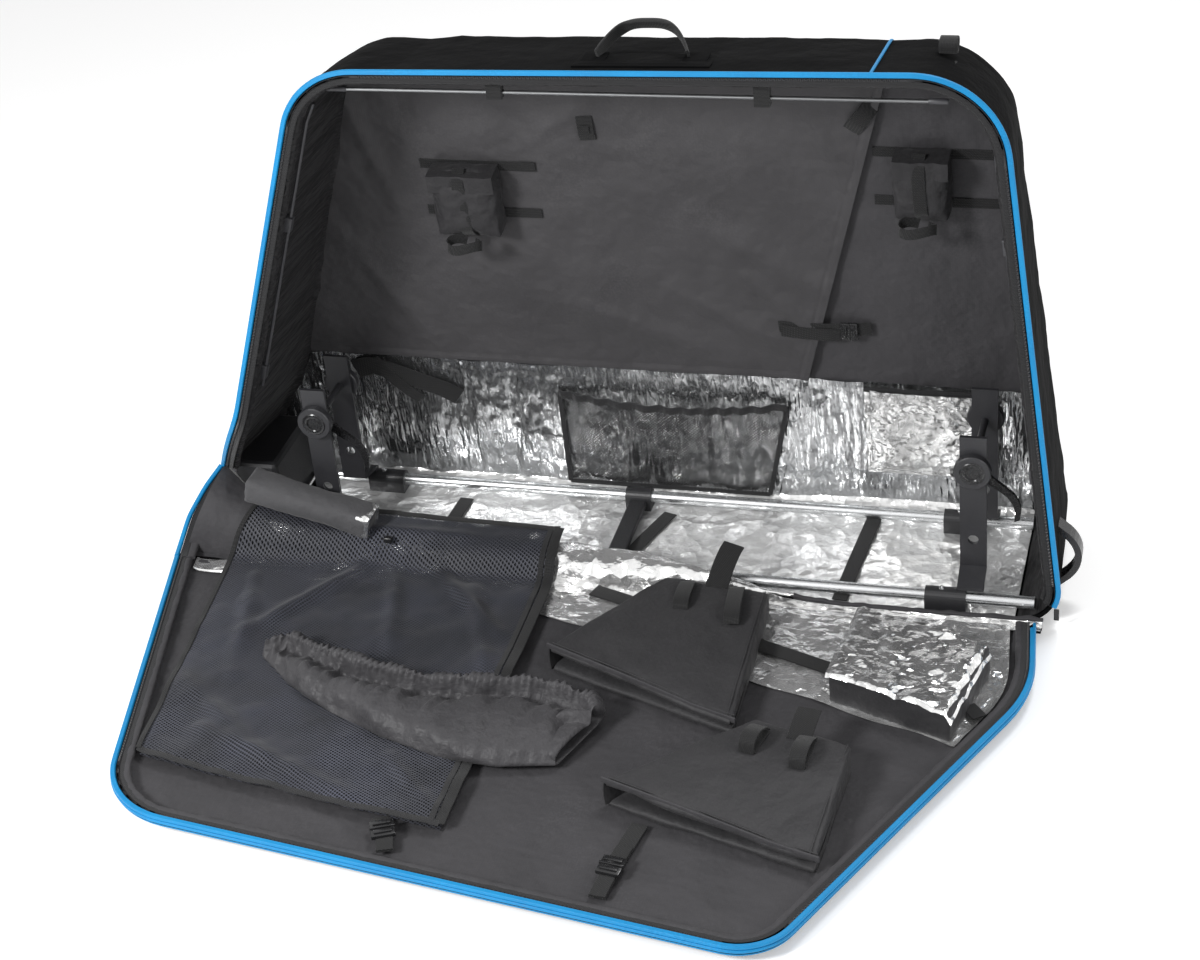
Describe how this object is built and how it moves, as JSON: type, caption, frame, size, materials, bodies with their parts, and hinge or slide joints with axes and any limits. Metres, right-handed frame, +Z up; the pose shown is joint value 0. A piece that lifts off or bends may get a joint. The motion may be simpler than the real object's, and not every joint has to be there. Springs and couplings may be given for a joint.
{
  "type": "bike travel case",
  "caption": "Soft padded travel case for a bicycle, open: tapered body with rails, clamped axle stands and pockets, lid folded down in front with loose padded covers, wheels at one end.",
  "frame": {"origin": "on the underside of the body's base, in the plane of the opening, at the length's zero mark between the two stands", "axes": "+X along the rails towards the end with the grab handle, +Y from the opening to the back, +Z up"},
  "size_m": [1.4469, 1.0661, 0.9193],
  "materials": {
    "outer_fabric": "coarse near-black padded outer fabric",
    "lining": "dark grey soft lining",
    "foil": "crinkled silver foil-faced lining",
    "piping": "cyan-blue piping",
    "webbing": "black webbing",
    "aluminium": "satin tube",
    "black_metal": "satin black bent plate",
    "black_plastic": "moulded black plastic",
    "mesh": "fine bluish-black mesh",
    "rubber": "black rubber tread",
    "rod": "dark flexible rod"
  },
  "bodies": {
    "case": {"left_wall": "outer_fabric", "top_wall": "outer_fabric", "right_wall": "outer_fabric", "floor_panel": "outer_fabric", "back_panel": "outer_fabric", "body_piping": "piping", "body_zip": "webbing", "front_sill": "lining", "hinge_cloth": "foil", "front_rail": "aluminium", "rear_rail": "aluminium", "cross_bar": "black_plastic", "top_rod": "aluminium", "left_rod": "rod", "right_rod": "rod", "rod_loop_left": "webbing", "rod_loop_right": "webbing", "wheel_housing": "black_plastic", "wheel_axle": "aluminium", "back_foil": "foil", "divider_panel": "lining", "mesh_pocket": "mesh", "foil_pocket": "foil", "pad_left": "lining", "pad_right": "lining", "floor_foil": "foil", "strap_roll": "webbing", "left_belt": "webbing"},
    "lid": {"lid_shell": "outer_fabric", "lid_lining": "lining", "lid_foil": "foil", "lid_piping": "piping", "lid_zip": "webbing", "lid_strap_left": "webbing", "lid_strap_right": "webbing", "mesh_bag": "mesh"},
    "right_stand": {"right_clamp_front": "black_plastic", "right_clamp_rear": "black_plastic", "right_post_front": "black_metal", "right_post_rear": "black_metal"},
    "right_skewer": {"right_axle": "aluminium", "right_lever": "black_plastic"},
    "left_stand": {"left_clamp_front": "black_plastic", "left_clamp_rear": "black_plastic", "left_post_front": "black_metal", "left_post_rear": "black_metal"},
    "left_skewer": {"left_axle": "aluminium", "left_lever": "black_plastic"},
    "wheel_f": {"wheel_front": "rubber"},
    "wheel_r": {"wheel_rear": "rubber"},
    "top_grip": {"top_handle": "webbing"},
    "end_grip": {"end_handle": "black_plastic"},
    "left_pull": {"pull_left": "black_plastic"},
    "right_pull": {"pull_right": "black_plastic"},
    "cover_near": {"cover_1": "lining"},
    "cover_far": {"cover_2": "lining"},
    "box": {"foil_box": "foil"},
    "gathered": {"gathered_cover": "lining"},
    "sleeve": {"tube_pad": "lining"}
  },
  "joints": [
    {"name": "lid_hinge", "type": "hinge", "parent": "case", "child": "lid", "pos_m": [0.65, -0.0343, 0.01], "axis": [-0.9888, 0.1053, 0.1053], "range_deg": [0, 90.64], "deforming": ["hinge_cloth"]},
    {"name": "right_stand_slide", "type": "slide", "parent": "case", "child": "right_stand", "axis": [1, 0, 0], "range_m": [-0.1, 0.035]},
    {"name": "left_stand_slide", "type": "slide", "parent": "case", "child": "left_stand", "axis": [1, 0, 0], "range_m": [-0.05, 0.1]},
    {"name": "right_lever_turn", "type": "hinge", "parent": "right_stand", "child": "right_skewer", "pos_m": [0.544, 0.055, 0.237], "axis": [0, -1, 0], "range_deg": [-100, 0]},
    {"name": "left_lever_turn", "type": "hinge", "parent": "left_stand", "child": "left_skewer", "pos_m": [-0.499, 0.07, 0.237], "axis": [0, -1, 0], "range_deg": [0, 100]},
    {"name": "front_wheel_spin", "type": "hinge", "parent": "case", "child": "wheel_f", "pos_m": [-0.664, 0.14, 0.0385], "axis": [0, 1, 0], "continuous": true},
    {"name": "rear_wheel_spin", "type": "hinge", "parent": "case", "child": "wheel_r", "pos_m": [-0.664, 0.232, 0.0385], "axis": [0, 1, 0], "continuous": true},
    {"name": "top_handle_swing", "type": "hinge", "parent": "case", "child": "top_grip", "pos_m": [0.09, 0.058, 0.86825], "axis": [0.9998, 0, 0.02], "range_deg": [0, 50]},
    {"name": "end_handle_swing", "type": "hinge", "parent": "case", "child": "end_grip", "pos_m": [0.67239, 0.079, 0.042], "axis": [-0.0302, 0, 0.9995], "range_deg": [0, 75]},
    {"name": "left_pull_swing", "type": "hinge", "parent": "case", "child": "left_pull", "pos_m": [-0.68808, 0.08459, 0.11927], "axis": [-1, 0, 0], "range_deg": [0, 30]},
    {"name": "right_pull_swing", "type": "hinge", "parent": "case", "child": "right_pull", "pos_m": [0.67434, -0.0048, 0.03465], "axis": [-1, 0, 0], "range_deg": [0, 30]},
    {"name": "cover_near_lift", "type": "slide", "parent": "lid", "child": "cover_near", "axis": [0, 0, -1], "range_m": [-0.2, 0]},
    {"name": "cover_far_lift", "type": "slide", "parent": "lid", "child": "cover_far", "axis": [0, 0, -1], "range_m": [-0.2, 0]},
    {"name": "box_lift", "type": "slide", "parent": "lid", "child": "box", "axis": [0, 0, -1], "range_m": [-0.2, 0]},
    {"name": "gathered_lift", "type": "slide", "parent": "lid", "child": "gathered", "axis": [0, 0, -1], "range_m": [-0.2, 0]},
    {"name": "sleeve_lift", "type": "slide", "parent": "case", "child": "sleeve", "axis": [-0.3498, 0.5997, -0.7197], "range_m": [-0.2, 0]}
  ]
}
